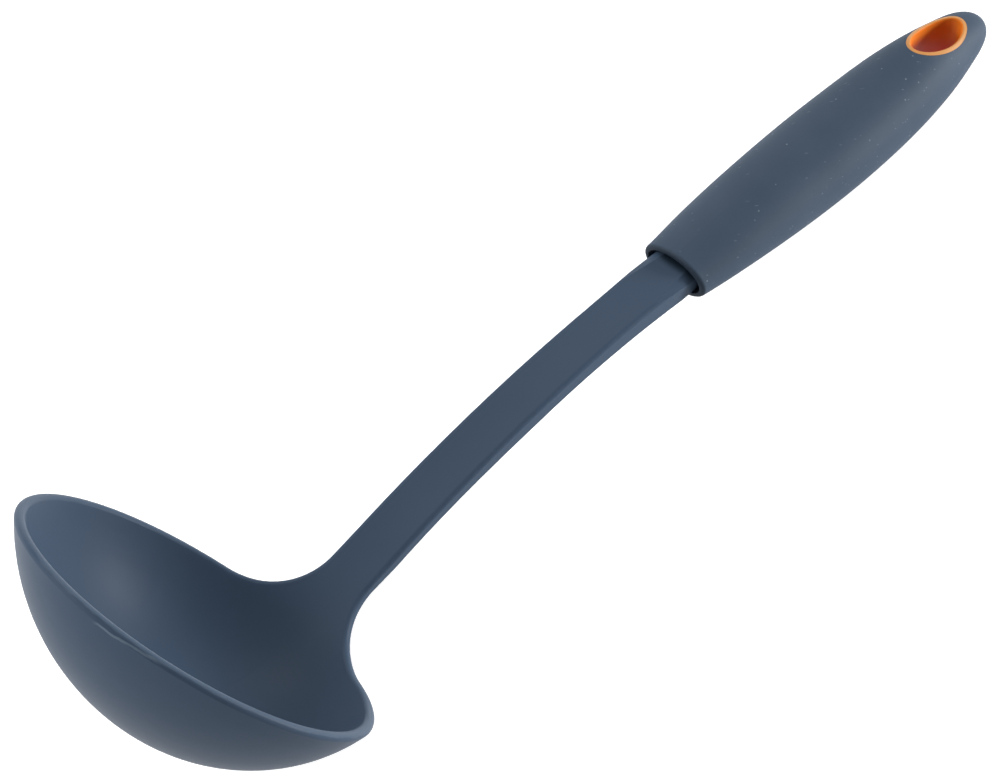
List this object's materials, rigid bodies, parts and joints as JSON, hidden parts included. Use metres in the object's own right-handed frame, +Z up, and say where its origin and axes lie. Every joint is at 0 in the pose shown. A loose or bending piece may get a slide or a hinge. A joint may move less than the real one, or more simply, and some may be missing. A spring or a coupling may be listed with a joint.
{
  "type": "soup ladle",
  "caption": "Soup ladle with a round leaning bowl, a flared neck and arched stem, and a soft-touch handle with a lined oval hanging hole.",
  "frame": {"origin": "on the table that the ladle lies on, under the middle of its length, with the ladle resting on the ball of its bowl and the belly of its handle", "axes": "+X from the bowl to the handle's tip, +Y across the ladle, +Z up from the table, with the bowl's mouth facing up and towards the handle"},
  "size_m": [0.3092, 0.0906, 0.0773],
  "materials": {
    "nylon": "matt moulded nylon, dark blue-grey",
    "orange_plastic": "satin hard plastic, warm orange",
    "soft_touch": "soft-touch rubber, blue-grey, slightly dusty"
  },
  "bodies": {
    "root": {"ladle_head": "nylon", "handle_core": "orange_plastic", "soft_grip": "soft_touch"}
  },
  "joints": []
}
